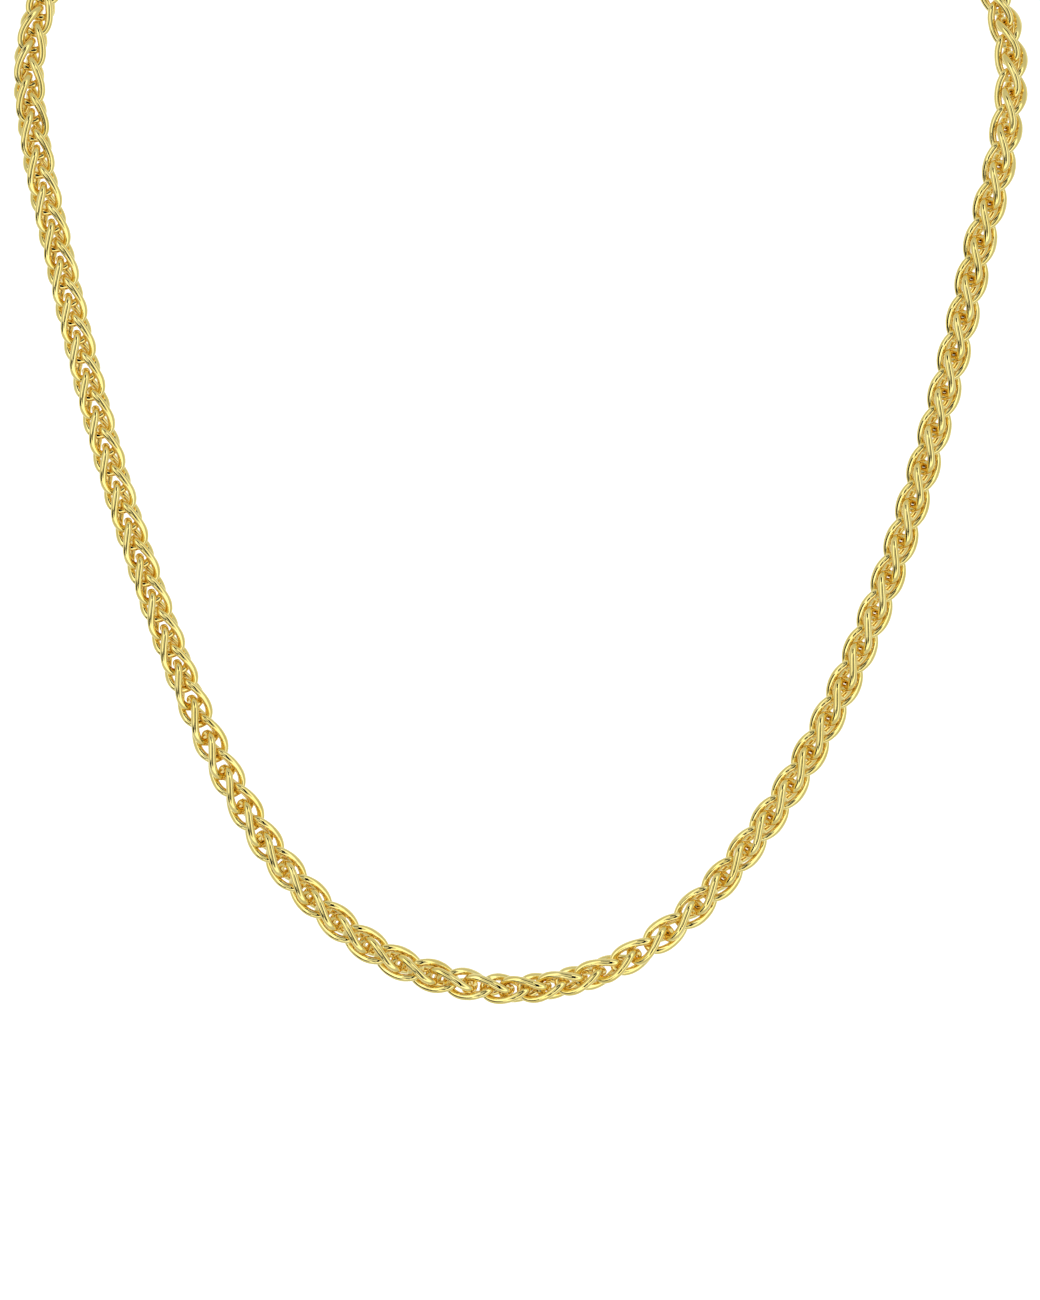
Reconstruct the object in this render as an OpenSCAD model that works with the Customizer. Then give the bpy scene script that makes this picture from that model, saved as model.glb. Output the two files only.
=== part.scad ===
// Wheat chain necklace in its worn form: one closed loop for an 18 inch neck.
// +Z is up, the wearer looks towards -Y, and the origin is the point where
// the middle of the loop's back rests on the nape of the neck.

/* [Loop] */
// Width of the loop where it is widest, between the middles of the chain
loop_w = 123; // [105:1:150]
// Height from the nape to the lowest point, along the leaning front
loop_h = 157.5; // [130:0.5:200]
// How far the front lies ahead of the nape, square to the front
loop_ahead = 25; // [15:0.5:40]
// How far the front of the loop leans back from upright, in degrees
front_lean = 35; // [0:5:50]

/* [Chain] */
// Thickness of the woven chain, over the crests of its links
chain_d = 4.2; // [2.5:0.1:5.5]

/* [End caps] */
// Wall of a cap round the chain
cap_wall = 0.4; // [0.3:0.05:0.8]
// Length of chain that a cap grips
cap_grip = 3.5; // [2:0.5:5]
// Thickness of a cap's closed end
cap_floor = 1; // [0.6:0.1:2]
// Wire of the ring soldered to a cap
eye_wire = 1; // [0.7:0.05:1.5]

/* [Jump ring] */
// Wire of the jump ring
ring_wire = 0.9; // [0.6:0.05:1.4]

/* [Clasp] */
// Thickness of the clasp's bow
bow_wire = 1.8; // [1.2:0.1:2.6]
// Length of the opening inside the bow
bow_open = 7; // [5:0.5:12]
// Wire of the small loop at the clasp's tail
tail_wire = 1; // [0.7:0.05:1.5]

/* [Fits] */
// Gap left between two pieces that pull on each other
touch_gap = 0.1; // [0.05:0.01:0.2]
// How much wider a ring's hole is than the wire that passes through it
play = 0.6; // [0.4:0.05:1]
// How deep soldered wires sink into each other
solder = 0.3; // [0.2:0.05:0.4]
// Rounding of a cap's closed rim
rim_round = 0.5; // [0.2:0.05:0.8]

/* [Hidden] */
gold = [0.86, 0.68, 0.33];
pale_gold = [0.9, 0.74, 0.42];

// The chain's route, seen square to the front of the loop: across to the
// right, up, and back, from the middle of the back. The wearer's right side
// comes first. The clasp's own straight stretch lies before the first point
// and after the last one. The points suit a loop of the width, height and
// reach ahead in drawn, and stretch with the loop's own sizes.
drawn = [123, 157.5, 25];
route = [
    [-27, -2, -0.5],
    [-40, -7.5, -3.5],
    [-50.5, -16, -9],
    [-58, -27.5, -16],
    [-61.5, -40, -21.5],
    [-60.5, -52.5, -24.5],
    [-57.5, -66.5, -25],
    [-54, -81.5, -25],
    [-50, -96, -25],
    [-44.5, -112.5, -25],
    [-39.5, -125, -25],
    [-33.5, -136.5, -25],
    [-28, -144, -25],
    [-20.5, -151, -25],
    [-12, -155.5, -25],
    [-1, -157.5, -25],
    [9.5, -155.5, -25],
    [17.5, -151, -25],
    [25, -144, -25],
    [33.5, -132.5, -25],
    [40, -120.5, -25],
    [46, -106, -25],
    [50.5, -92, -25],
    [54, -79, -25],
    [57.5, -64, -25],
    [60.5, -51.5, -24.5],
    [61.5, -40, -21.5],
    [58, -27.5, -16],
    [50.5, -16, -9],
    [40, -7.5, -3.5],
    [27, -2, -0.5]
];

// Tube round the route
tube_sides = 12;
tube_steps = 2;

// Holes, each from the wires that pass through it
eye_hole = bow_wire + play;
ring_hole = eye_wire + tail_wire + play;
tail_hole = ring_wire + 2 * play;
bow_hole = eye_wire + 2 * play;

// Radius of each ring's centre line
eye_r = (eye_hole + eye_wire) / 2;
ring_r = (ring_hole + ring_wire) / 2;
tail_r = (tail_hole + tail_wire) / 2;
bow_r = (bow_hole + bow_wire) / 2;

// Distance between the centre lines of two wires that pull on each other
function reach(wire_a, wire_b) = (wire_a + wire_b) / 2 + touch_gap;

// The row of pieces at the back of the neck, from left to right along X
cap_to_eye = eye_r + eye_wire / 2 - solder;
eye_to_ring = eye_r - reach(eye_wire, ring_wire) + ring_r;
ring_to_tail = ring_r - reach(ring_wire, tail_wire) + tail_r;
tail_to_bow = tail_r + (tail_wire + bow_wire) / 2 - solder;
bow_span = bow_open + bow_wire;
bow_to_eye = eye_r - reach(bow_wire, eye_wire);
row_l = 2 * cap_to_eye + eye_to_ring + ring_to_tail + tail_to_bow + bow_span + bow_to_eye;

cap_x = -row_l / 2;
eye_x = cap_x + cap_to_eye;
ring_x = eye_x + eye_to_ring;
tail_x = ring_x + ring_to_tail;
bow_x = tail_x + tail_to_bow;

// Caps and the chain's ends
cap_bore_r = chain_d / 2 + touch_gap;
cap_r = cap_bore_r + cap_wall;
cap_l = cap_floor + touch_gap + cap_grip;
end_x = row_l / 2 + cap_floor + touch_gap;
bend_x = end_x + cap_grip;

// The caps touch the nape, so the row lies half a cap behind it
row_y = cap_r;

// A route point as it hangs, stretched to the loop's sizes and leaning back
function stretch(p) = [
    p.x * loop_w / drawn.x,
    p.y * loop_h / drawn.y,
    p.z * loop_ahead / drawn.z
];
function lean(p) = [
    p.x,
    row_y + p.y * sin(front_lean) + p.z * cos(front_lean),
    p.y * cos(front_lean) - p.z * sin(front_lean)
];
facing = [0, cos(front_lean), -sin(front_lean)];

function unit(v) = v / norm(v);

// Points that the curve goes through, and one beyond each end to steer it
stem = [for (p = route) lean(stretch(p))];
first = [-bend_x, row_y, 0];
last = [bend_x, row_y, 0];
before = stem[0] + [2 * norm(stem[0] - first), 0, 0];
after = stem[len(stem) - 1] - [2 * norm(stem[len(stem) - 1] - last), 0, 0];
knots = concat([before, first], stem, [last, after]);

// Place and direction at share t of the way from knot i to the next one
function pull(i) = (knots[i + 1] - knots[i - 1]) / 2;
function place(i, t) =
    (2 * pow(t, 3) - 3 * pow(t, 2) + 1) * knots[i]
    + (pow(t, 3) - 2 * pow(t, 2) + t) * pull(i)
    + (3 * pow(t, 2) - 2 * pow(t, 3)) * knots[i + 1]
    + (pow(t, 3) - pow(t, 2)) * pull(i + 1);
function heading(i, t) = unit(
    (6 * pow(t, 2) - 6 * t) * (knots[i] - knots[i + 1])
    + (3 * pow(t, 2) - 4 * t + 1) * pull(i)
    + (3 * pow(t, 2) - 2 * t) * pull(i + 1)
);

// Stations along the tube, each a centre and a heading
curve = [
    for (i = [1 : len(knots) - 3])
        for (s = [0 : tube_steps - 1])
            [place(i, s / tube_steps), heading(i, s / tube_steps)]
];
stations = concat(
    [[[-end_x, row_y, 0], [-1, 0, 0]]],
    curve,
    [[last, [-1, 0, 0]], [[end_x, row_y, 0], [-1, 0, 0]]]
);

// One ring of corners round a station
function corners(station, r) =
    let (
        along = station[1],
        out = unit(facing - (facing * along) * along),
        side = cross(along, out)
    )
    [
        for (k = [0 : tube_sides - 1])
            let (turn = 360 * k / tube_sides)
                station[0] + r * (cos(turn) * out + sin(turn) * side)
    ];

// A solid tube swept along the stations
module tube(stations, r) {
    points = [for (s = stations) each corners(s, r)];
    rows = len(stations);
    walls = [
        for (i = [0 : rows - 2])
            for (k = [0 : tube_sides - 1])
                let (next = (k + 1) % tube_sides)
                    [
                        i * tube_sides + next,
                        i * tube_sides + k,
                        (i + 1) * tube_sides + k,
                        (i + 1) * tube_sides + next
                    ]
    ];
    start = [for (k = [0 : tube_sides - 1]) k];
    finish = [for (k = [tube_sides - 1 : -1 : 0]) (rows - 1) * tube_sides + k];
    polyhedron(points, concat([start], walls, [finish]), convexity = 6);
}

// A closed ring of round wire, flat in the XY plane
module wire_ring(mean_r, wire) {
    rotate_extrude($fn = 48)
        translate([mean_r, 0])
            circle(d = wire, $fn = 24);
}

// Half of such a ring, on the side of +X
module half_ring(mean_r, wire) {
    rotate([0, 0, -90])
        rotate_extrude(angle = 180, $fn = 48)
            translate([mean_r, 0])
                circle(d = wire, $fn = 24);
}

// Cap with its mouth towards -X, its closed end at the origin and its
// soldered ring beyond it
module cap() {
    difference() {
        rotate([0, -90, 0])
            rotate_extrude($fn = 48) {
                translate([0, rim_round])
                    square([cap_r, cap_l - rim_round]);
                square([cap_r - rim_round, cap_l]);
                translate([cap_r - rim_round, rim_round])
                    circle(rim_round, $fn = 32);
            }
        translate([-cap_floor, 0, 0])
            rotate([0, -90, 0])
                cylinder(r = cap_bore_r, h = cap_l, $fn = 48);
    }
    translate([cap_to_eye, 0, 0])
        children();
}

module chain() {
    color(gold)
        tube(stations, chain_d / 2);
}

module cap_left() {
    color(pale_gold)
        translate([cap_x, row_y, 0])
            cap()
                rotate([90, 0, 0])
                    wire_ring(eye_r, eye_wire);
}

module cap_right() {
    color(pale_gold)
        translate([-cap_x, row_y, 0])
            mirror([1, 0, 0])
                cap()
                    wire_ring(eye_r, eye_wire);
}

module jump_ring() {
    color(pale_gold)
        translate([ring_x, row_y, 0])
            wire_ring(ring_r, ring_wire);
}

// Oval bow with a small loop soldered to its tail
module clasp() {
    straight = bow_span - 2 * bow_r;
    color(pale_gold)
        translate([tail_x, row_y, 0])
            rotate([90, 0, 0]) {
                wire_ring(tail_r, tail_wire);
                translate([tail_to_bow + bow_r, 0, 0]) {
                    mirror([1, 0, 0])
                        half_ring(bow_r, bow_wire);
                    translate([straight, 0, 0])
                        half_ring(bow_r, bow_wire);
                    for (side = [-1, 1])
                        translate([0, side * bow_r, 0])
                            rotate([0, 90, 0])
                                cylinder(d = bow_wire, h = straight, $fn = 24);
                }
            }
}

chain();
cap_left();
cap_right();
jump_ring();
clasp();
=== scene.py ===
"""Looks of the wheat chain necklace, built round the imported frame.

Lengths are in metres, and in millimetres where a comment says so."""
import math

import bpy
import numpy as np
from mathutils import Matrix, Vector


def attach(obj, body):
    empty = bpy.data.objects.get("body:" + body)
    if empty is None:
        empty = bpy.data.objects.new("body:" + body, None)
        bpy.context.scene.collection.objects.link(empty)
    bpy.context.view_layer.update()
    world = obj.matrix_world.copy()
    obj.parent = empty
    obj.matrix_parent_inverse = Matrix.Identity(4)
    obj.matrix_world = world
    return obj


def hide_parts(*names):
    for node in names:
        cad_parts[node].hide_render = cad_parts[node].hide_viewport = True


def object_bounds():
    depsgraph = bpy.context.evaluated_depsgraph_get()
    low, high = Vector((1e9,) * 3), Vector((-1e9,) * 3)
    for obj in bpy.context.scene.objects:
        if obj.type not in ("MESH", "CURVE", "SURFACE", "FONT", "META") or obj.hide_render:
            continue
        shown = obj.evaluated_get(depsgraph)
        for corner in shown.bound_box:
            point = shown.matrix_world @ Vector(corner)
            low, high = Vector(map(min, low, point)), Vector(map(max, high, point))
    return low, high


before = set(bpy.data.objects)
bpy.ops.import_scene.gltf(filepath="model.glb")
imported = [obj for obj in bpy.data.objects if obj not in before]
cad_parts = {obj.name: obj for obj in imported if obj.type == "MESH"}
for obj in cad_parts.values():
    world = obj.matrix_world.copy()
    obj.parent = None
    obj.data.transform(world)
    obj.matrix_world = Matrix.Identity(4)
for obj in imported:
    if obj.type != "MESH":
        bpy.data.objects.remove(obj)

CAD_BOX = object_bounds()
MM = 0.001

# The loop, as in the part's source, in millimetres
FRONT_LEAN = math.radians(35)
FRONT_AHEAD = 25
ROW_Y = 2.6
CHAIN_END_X = 11.15
BEND_X = 14.65

# The chain's route seen square to the front: across to the right, up, and back
ROUTE = [
    (-27, -2, -0.5), (-40, -7.5, -3.5), (-50.5, -16, -9), (-58, -27.5, -16),
    (-61.5, -40, -21.5), (-60.5, -52.5, -24.5), (-57.5, -66.5, -25), (-54, -81.5, -25),
    (-50, -96, -25), (-44.5, -112.5, -25), (-39.5, -125, -25), (-33.5, -136.5, -25),
    (-28, -144, -25), (-20.5, -151, -25), (-12, -155.5, -25), (-1, -157.5, -25),
    (9.5, -155.5, -25), (17.5, -151, -25), (25, -144, -25), (33.5, -132.5, -25),
    (40, -120.5, -25), (46, -106, -25), (50.5, -92, -25), (54, -79, -25),
    (57.5, -64, -25), (60.5, -51.5, -24.5), (61.5, -40, -21.5), (58, -27.5, -16),
    (50.5, -16, -9), (40, -7.5, -3.5), (27, -2, -0.5),
]
STEPS_PER_SPAN = 40

# One link, in millimetres: a closed oval of round wire, wider towards its nose and twisted
# about the chain's axis from its tail to its nose. It has its stated half width at the
# middle of the taper, and the higher the squareness, the fuller its ends.
WIRE = 0.97
LINK_REACH = 5.83
LINK_HALF = 1.685
LINK_TAPER = 0.15
TAPER_MIDDLE = 0.7
LINK_SQUARENESS = 2.5
TAIL_TURN = -1
NOSE_TURN = 95.5
LINK_SEGMENTS = 56
WIRE_SIDES = 12

# Where the links' tails lie along the chain, as (link, millimetres). Links of an even count
# from the one at FIRST_RIGHT turn to the right, the others to the left.
PLACES = [
    (0, 0.49), (39, 92.33), (47, 111.34), (57, 135.66), (65, 154.4), (69, 164.0), (73, 173.7),
    (93, 220.18), (101, 239.80), (125, 297.44), (141, 336.2), (179, 427.6),
]
FIRST_RIGHT = 57

# How the whole weave rolls about its own axis, as (millimetres along the chain, degrees)
ROLL = [
    (0, -7), (131, -8), (154, -11), (160, -22), (166, -29), (175, -30), (184, -42),
    (206, -50), (215, -80), (225, -92), (241, -126), (255, -133), (434, -134),
]

# How far the links in the caps are squeezed towards the middle line, as (millimetres, share)
SQUEEZE = [(0, 0.92), (4, 0.94), (8, 1), (426, 1), (430, 0.94), (434, 0.92)]

# The camera, square to the leaning front. The photo's middle is given in millimetres from
# the row of fittings, across and down along the front.
FACING = Vector((0, math.cos(FRONT_LEAN), -math.sin(FRONT_LEAN)))
FRONT_UP = Vector((0, math.sin(FRONT_LEAN), math.cos(FRONT_LEAN)))
PHOTO_ACROSS = -0.06
PHOTO_DOWN = 115.1
PHOTO_HEIGHT = 162.5 * MM
LENS = 180.0
SENSOR = 36.0
CLIP = (0.05, 20.0)

# Gold: the scale, detail and seed of the noise behind its tone, its polish and its ripple,
# the part of the noise's range that they use, and the ripple's height
TONE_NOISE = (260, 3, 1.3)
POLISH_NOISE = (900, 4, 5.1)
RIPPLE_NOISE = (1500, 3, 9.7)
NOISE_RANGE = (0.3, 0.7)
RIPPLE_HEIGHT = 0.05 * MM

# The two golds: deep tone, light tone, roughness from and to, strength of the ripple
CHAIN_GOLD = ((0.91, 0.67, 0.20), (0.97, 0.755, 0.29), (0.01, 0.04), 0.35)
FITTING_GOLD = ((0.91, 0.68, 0.21), (0.97, 0.76, 0.30), (0.04, 0.10), 0.12)
FITTINGS = ("cap_left", "cap_right", "jump_ring", "clasp")

# The floor: how far it lies below the part, its side, its greys, and its finish
FLOOR_BELOW = 0.35
FLOOR_SIZE = 8.0
FLOOR_GREYS = (0.92, 0.94)
FLOOR_NOISE = 3.0
FLOOR_ROUGHNESS = 0.9

# The pale tent round the part: how bright it is by the angle in degrees from the camera's
# own direction. The bright band is a ring lamp round the camera.
TENT = [
    (0, 0.72), (28, 0.76), (38, 0.90), (43, 1.60), (54, 1.60), (61, 0.80),
    (95, 0.66), (125, 0.98), (150, 0.94), (180, 0.90),
]
TENT_TOP = 2.0
TENT_COLOR = (0.90, 1.0, 1.05, 1)

# Dark cards in its near half: how far right and up of the camera's direction the middle
# lies, half the length, half the width, and the turn in degrees, with how fast they fade
CARDS = [
    (0.22, 0.00, 0.50, 0.15, 80),
    (-0.13, 0.71, 0.28, 0.12, 0),
    (-0.22, -0.47, 0.28, 0.10, -42),
    (-0.75, -0.45, 0.22, 0.12, -30),
]
CARD_EDGE = 0.01

# Soft light from above for the floor
SKYLIGHT = 1.9
SKYLIGHT_ANGLE = math.radians(60)


def add_camera():
    data = bpy.data.cameras.new("camera")
    data.lens = LENS
    data.sensor_width = SENSOR
    data.clip_start, data.clip_end = CLIP
    camera = bpy.data.objects.new("camera", data)
    bpy.context.scene.collection.objects.link(camera)
    row = Vector((PHOTO_ACROSS, ROW_Y, 0)) * MM
    aim = row - PHOTO_DOWN * MM * FRONT_UP - FRONT_AHEAD * MM * FACING
    camera.location = aim - FACING * (PHOTO_HEIGHT * LENS / SENSOR)
    camera.rotation_mode = "QUATERNION"
    camera.rotation_quaternion = FACING.to_track_quat("-Z", "Y")
    bpy.context.scene.camera = camera


def unit(v):
    return v / np.linalg.norm(v, axis=-1, keepdims=True)


def distances(points):
    """How far along a line each of its points lies."""
    return np.concatenate([[0], np.cumsum(np.linalg.norm(np.diff(points, axis=0), axis=1))])


# The chain's route

def lean(points):
    """Points seen square to the front, as they hang."""
    p = np.asarray(points, float)
    c, s = math.cos(FRONT_LEAN), math.sin(FRONT_LEAN)
    return np.stack([p[:, 0], ROW_Y + p[:, 1] * s + p[:, 2] * c, p[:, 1] * c - p[:, 2] * s], 1)


class Line:
    """The chain's middle line, looked up by length along it in millimetres."""

    def __init__(self):
        stem = lean(ROUTE)
        first, last = np.array([-BEND_X, ROW_Y, 0]), np.array([BEND_X, ROW_Y, 0])
        before = stem[0] + [2 * np.linalg.norm(stem[0] - first), 0, 0]
        after = stem[-1] - [2 * np.linalg.norm(stem[-1] - last), 0, 0]
        knots = np.vstack([before, first, stem, last, after])
        pull = (knots[2:] - knots[:-2]) / 2
        t = np.linspace(0, 1, STEPS_PER_SPAN, endpoint=False)[:, None]
        spans = [
            (2 * t**3 - 3 * t**2 + 1) * knots[i + 1] + (t**3 - 2 * t**2 + t) * pull[i]
            + (3 * t**2 - 2 * t**3) * knots[i + 2] + (t**3 - t**2) * pull[i + 1]
            for i in range(len(knots) - 3)
        ]
        start, finish = [-CHAIN_END_X, ROW_Y, 0], [CHAIN_END_X, ROW_Y, 0]
        self.points = np.vstack([start, *spans, last, finish])
        self.at = distances(self.points)
        self.along = unit(np.gradient(self.points, self.at, axis=0))

    def look(self, table, s):
        return np.stack([np.interp(s, self.at, table[:, i]) for i in range(3)], -1)

    def frames(self, s):
        """Place, and the directions away from the viewer and towards the loop's inside."""
        along = unit(self.look(self.along, s))
        away = np.array(FACING)
        out = unit(away - (along @ away)[..., None] * along)
        return self.look(self.points, s), out, np.cross(along, out)


# Links

def even(loop, count):
    """The same closed line with its points evenly spaced."""
    closed = np.vstack([loop, loop[:1]])
    at = distances(closed)
    want = np.linspace(0, at[-1], count, endpoint=False)
    return np.stack([np.interp(want, at, closed[:, i]) for i in range(loop.shape[1])], 1)


def fuller(wave):
    """A sine or cosine that stays near its crests for longer, for a squarer oval."""
    return np.sign(wave) * np.abs(wave) ** (2 / LINK_SQUARENESS)


def link_line(hand):
    """Middle line of one link's wire along a straight chain: out, side, along."""
    u = np.arange(LINK_SEGMENTS) / LINK_SEGMENTS * 2 * math.pi
    share = (1 - fuller(np.cos(u))) / 2
    across = LINK_HALF * fuller(np.sin(u)) * (1 + LINK_TAPER * (share - TAPER_MIDDLE))
    line = even(np.stack([across, share * LINK_REACH], 1), LINK_SEGMENTS)
    turn = np.radians(TAIL_TURN + (NOSE_TURN - TAIL_TURN) * line[:, 1] / LINK_REACH) * hand
    return np.stack([line[:, 0] * np.cos(turn), line[:, 0] * np.sin(turn), line[:, 1]], 1)


def carried(normal, heading):
    """The same sideways direction, made square to a new heading."""
    return unit(normal - (normal @ heading) * heading)


def wire_skin(line, radius, sides):
    """Corners of a closed round wire along a closed line, ring by ring."""
    heading = unit(np.roll(line, -1, 0) - np.roll(line, 1, 0))
    normal = np.zeros_like(line)
    any_side = [0.3, 0.5, 0.81]
    normal[0] = unit(np.cross(heading[0], any_side))
    for i in range(1, len(line)):
        normal[i] = carried(normal[i - 1], heading[i])
    other = np.cross(heading, normal)
    # the last ring meets the first one turned by some angle, which is spread along the wire
    kept = carried(normal[-1], heading[0])
    gap = math.atan2(kept @ other[0], kept @ normal[0])
    share = -gap * np.arange(len(line)) / len(line)
    c, s = np.cos(share)[:, None], np.sin(share)[:, None]
    normal, other = c * normal + s * other, -s * normal + c * other
    turn = (np.arange(sides) / sides * 2 * math.pi)[None, :, None]
    return line[:, None] + radius * (np.cos(turn) * normal[:, None] + np.sin(turn) * other[:, None])


def wire_faces(rings, sides):
    i, k = np.meshgrid(np.arange(rings), np.arange(sides), indexing="ij")
    i2, k2 = (i + 1) % rings, (k + 1) % sides
    quads = np.stack([i * sides + k, i2 * sides + k, i2 * sides + k2, i * sides + k2], -1)
    return quads.reshape(-1, 4)


def add_mesh(name, points, quads, material):
    mesh = bpy.data.meshes.new(name)
    mesh.from_pydata(points.tolist(), [], quads.tolist())
    mesh.shade_smooth()
    mesh.update()
    mesh.materials.append(material)
    piece = bpy.data.objects.new(name, mesh)
    bpy.context.scene.collection.objects.link(piece)
    return piece


def add_links(name, line, numbers, material):
    """A run of links, bent and rolled along the chain's middle line."""
    skins = [wire_skin(link_line(hand), WIRE / 2, WIRE_SIDES).reshape(-1, 3) for hand in (1, -1)]
    quads = wire_faces(LINK_SEGMENTS, WIRE_SIDES)
    all_points, all_quads = [], []
    for n, k in enumerate(numbers):
        local = skins[(k - FIRST_RIGHT) % 2]
        s = np.interp(k, *zip(*PLACES)) + local[:, 2]
        place, out, side = line.frames(s)
        roll = np.radians(np.interp(s, *zip(*ROLL)))
        squeeze = np.interp(s, *zip(*SQUEEZE))
        c, r = squeeze * np.cos(roll), squeeze * np.sin(roll)
        x = (local[:, 0] * c - local[:, 1] * r)[:, None]
        y = (local[:, 0] * r + local[:, 1] * c)[:, None]
        all_points.append(place + x * out + y * side)
        all_quads.append(quads + n * len(local))
    piece = add_mesh(name, np.vstack(all_points) * MM, np.vstack(all_quads), material)
    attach(piece, "root")
    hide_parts("chain")


def add_chain(material):
    line = Line()
    count = PLACES[-1][0] + 1
    half = count // 2
    add_links("links_right", line, range(0, half), material)
    add_links("links_left", line, range(half, count), material)


# Nodes of the materials and the tent

def new_material(name):
    material = bpy.data.materials.new(name)
    material.use_nodes = True
    return material, material.node_tree, material.node_tree.nodes["Principled BSDF"]


def feed(tree, socket, value):
    """Link what another node gives, or set a plain number."""
    if isinstance(value, bpy.types.NodeSocket):
        tree.links.new(value, socket)
    else:
        socket.default_value = value


def math_node(tree, operation, *values):
    node = tree.nodes.new("ShaderNodeMath")
    node.operation = operation
    for socket, value in zip(node.inputs, values):
        feed(tree, socket, value)
    return node.outputs["Value"]


def map_node(tree, value, low, high, *spread):
    """Share of the way from low to high, or the same share of a spread."""
    node = tree.nodes.new("ShaderNodeMapRange")
    names = ("From Min", "From Max", "To Min", "To Max")
    for name, number in zip(names, (low, high, *spread)):
        node.inputs[name].default_value = number
    tree.links.new(value, node.inputs["Value"])
    return node.outputs["Result"]


def noise_node(tree, scale, detail, seed):
    where = tree.nodes.new("ShaderNodeTexCoord")
    node = tree.nodes.new("ShaderNodeTexNoise")
    node.noise_dimensions = "4D"
    node.inputs["W"].default_value = seed
    node.inputs["Scale"].default_value = scale
    node.inputs["Detail"].default_value = detail
    tree.links.new(where.outputs["Object"], node.inputs["Vector"])
    return node.outputs["Fac"]


def gold(name, deep, light, rough, ripple):
    """Polished gold: a slow change of tone, uneven polish and a slight ripple."""
    material, tree, shader = new_material(name)
    shader.inputs["Metallic"].default_value = 1.0

    tone = tree.nodes.new("ShaderNodeValToRGB")
    for stop, place, color in zip(tone.color_ramp.elements, NOISE_RANGE, (deep, light)):
        stop.position = place
        stop.color = (*color, 1)
    tree.links.new(noise_node(tree, *TONE_NOISE), tone.inputs["Fac"])
    tree.links.new(tone.outputs["Color"], shader.inputs["Base Color"])

    polish = map_node(tree, noise_node(tree, *POLISH_NOISE), *NOISE_RANGE, *rough)
    tree.links.new(polish, shader.inputs["Roughness"])

    bump = tree.nodes.new("ShaderNodeBump")
    bump.inputs["Strength"].default_value = ripple
    bump.inputs["Distance"].default_value = RIPPLE_HEIGHT
    tree.links.new(noise_node(tree, *RIPPLE_NOISE), bump.inputs["Height"])
    tree.links.new(bump.outputs["Normal"], shader.inputs["Normal"])
    return material


def pale_floor():
    material, tree, shader = new_material("floor")
    shader.inputs["Roughness"].default_value = FLOOR_ROUGHNESS
    noise = tree.nodes.new("ShaderNodeTexNoise")
    noise.inputs["Scale"].default_value = FLOOR_NOISE
    tone = tree.nodes.new("ShaderNodeValToRGB")
    for stop, grey in zip(tone.color_ramp.elements, FLOOR_GREYS):
        stop.color = (grey, grey, grey, 1)
    tree.links.new(noise.outputs["Fac"], tone.inputs["Fac"])
    tree.links.new(tone.outputs["Color"], shader.inputs["Base Color"])
    return material


# Stage and light

def add_floor():
    """A pale floor, which doesn't show in the polished metal."""
    z = CAD_BOX[0].z - FLOOR_BELOW
    h = FLOOR_SIZE / 2
    corners = np.array([[-h, -h, z], [h, -h, z], [h, h, z], [-h, h, z]])
    floor = add_mesh("floor", corners, np.array([[0, 1, 2, 3]]), pale_floor())
    floor.visible_glossy = False


def toward(tree, sky, right, up, near):
    """How far the looked-at direction points to the given one, seen from the camera."""
    dot = tree.nodes.new("ShaderNodeVectorMath")
    dot.operation = "DOT_PRODUCT"
    direction = Vector((right, 0, 0)) + up * FRONT_UP - near * FACING
    dot.inputs[1].default_value = direction.normalized()
    tree.links.new(sky, dot.inputs[0])
    return dot.outputs["Value"]


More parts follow.
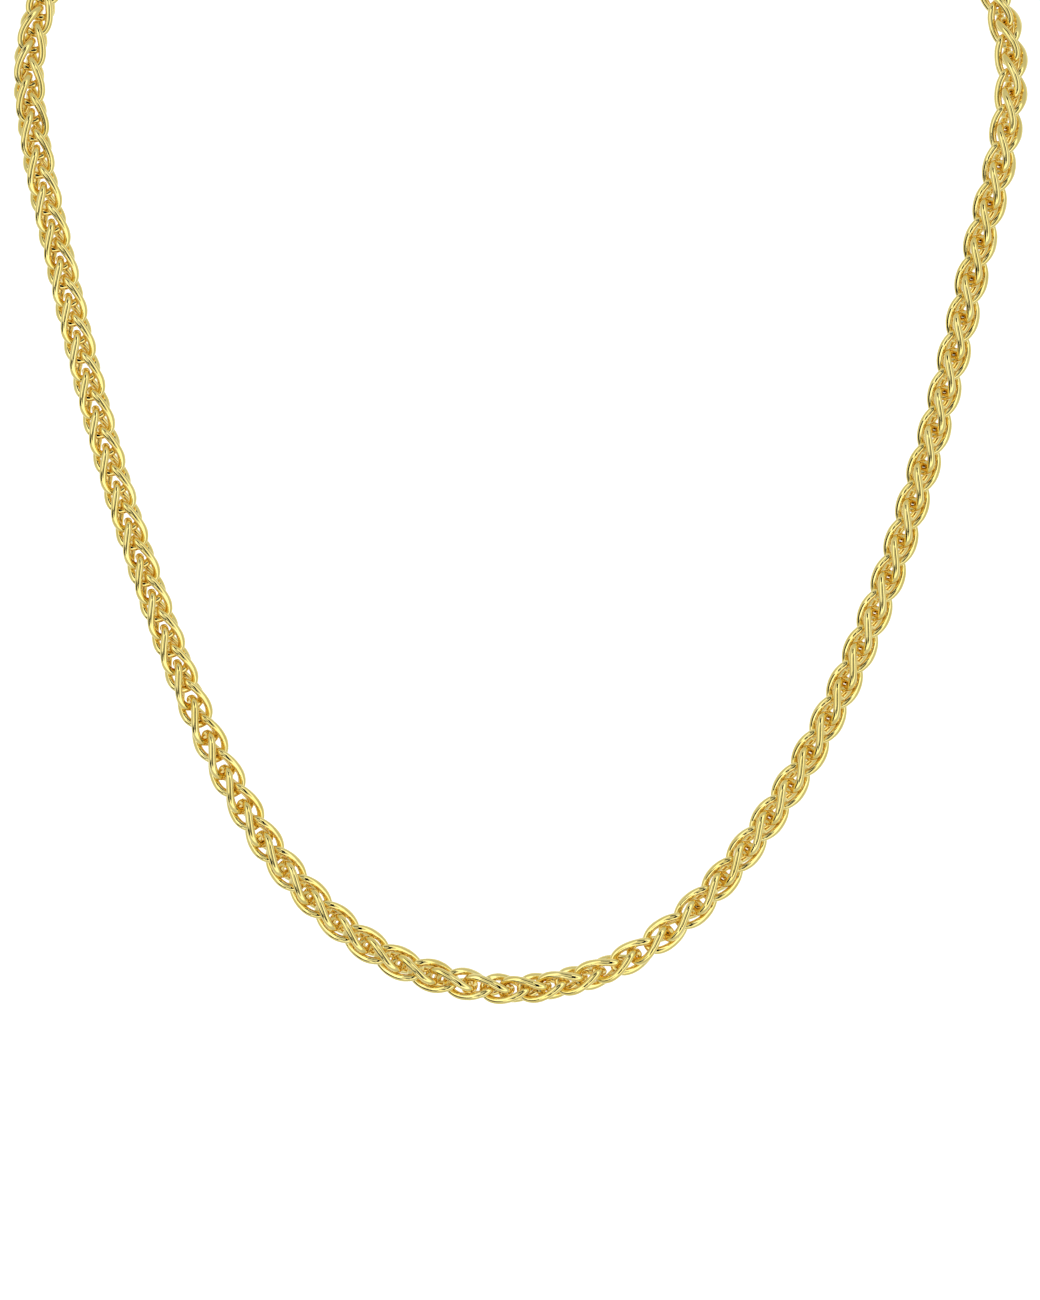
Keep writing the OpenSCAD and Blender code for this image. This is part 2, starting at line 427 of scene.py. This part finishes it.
def bare_tent(tree, facing):
    """Brightness of the tent without its cards."""
    curve_node = tree.nodes.new("ShaderNodeFloatCurve")
    curve = curve_node.mapping.curves[0]
    for i, (degrees, value) in enumerate(TENT):
        spot = (degrees / 180, value / TENT_TOP)
        if i == 0:
            curve.points[0].location = spot
        elif i == len(TENT) - 1:
            curve.points[-1].location = spot
        else:
            curve.points.new(*spot)
    curve_node.mapping.update()
    turned = math_node(tree, "DIVIDE", math_node(tree, "ARCCOSINE", facing), math.pi)
    tree.links.new(turned, curve_node.inputs["Value"])
    return math_node(tree, "MULTIPLY", curve_node.outputs["Value"], TENT_TOP)


def card_cover(tree, sky, right, up, length, width, turn):
    """1 on a card and 0 off it, fading over its edge."""
    c, s = math.cos(math.radians(turn)), math.sin(math.radians(turn))

    def within(direction, middle, reach):
        off = math_node(tree, "SUBTRACT", toward(tree, sky, *direction, 0), middle)
        return map_node(tree, math_node(tree, "ABSOLUTE", off), reach + CARD_EDGE, reach)

    along = within((c, s), right * c + up * s, length)
    across = within((-s, c), up * c - right * s, width)
    return math_node(tree, "MULTIPLY", along, across)


def add_tent():
    world = bpy.data.worlds.new("tent")
    bpy.context.scene.world = world
    world.use_nodes = True
    tree = world.node_tree
    background = tree.nodes["Background"]
    sky = tree.nodes.new("ShaderNodeTexCoord").outputs["Generated"]
    facing = toward(tree, sky, 0, 0, 1)
    near = math_node(tree, "GREATER_THAN", facing, 0.0)
    level = bare_tent(tree, facing)
    for card in CARDS:
        mix = tree.nodes.new("ShaderNodeMix")
        cover = math_node(tree, "MULTIPLY", card_cover(tree, sky, *card), near)
        tree.links.new(cover, mix.inputs["Factor"])
        tree.links.new(level, mix.inputs["A"])
        mix.inputs["B"].default_value = 0.0
        level = mix.outputs["Result"]
    background.inputs["Color"].default_value = TENT_COLOR
    tree.links.new(level, background.inputs["Strength"])


def add_skylight():
    """Soft light from above for the floor, which doesn't show in the polished metal."""
    data = bpy.data.lights.new("skylight", "SUN")
    data.energy = SKYLIGHT
    data.angle = SKYLIGHT_ANGLE
    sun = bpy.data.objects.new("skylight", data)
    bpy.context.scene.collection.objects.link(sun)
    sun.visible_glossy = False


add_camera()
chain_gold = gold("chain_gold", *CHAIN_GOLD)
fitting_gold = gold("fitting_gold", *FITTING_GOLD)
add_chain(chain_gold)
for name in FITTINGS:
    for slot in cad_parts[name].material_slots:
        slot.material = fitting_gold
add_floor()
add_tent()
add_skylight()
bpy.context.scene.view_settings.view_transform = "Standard"
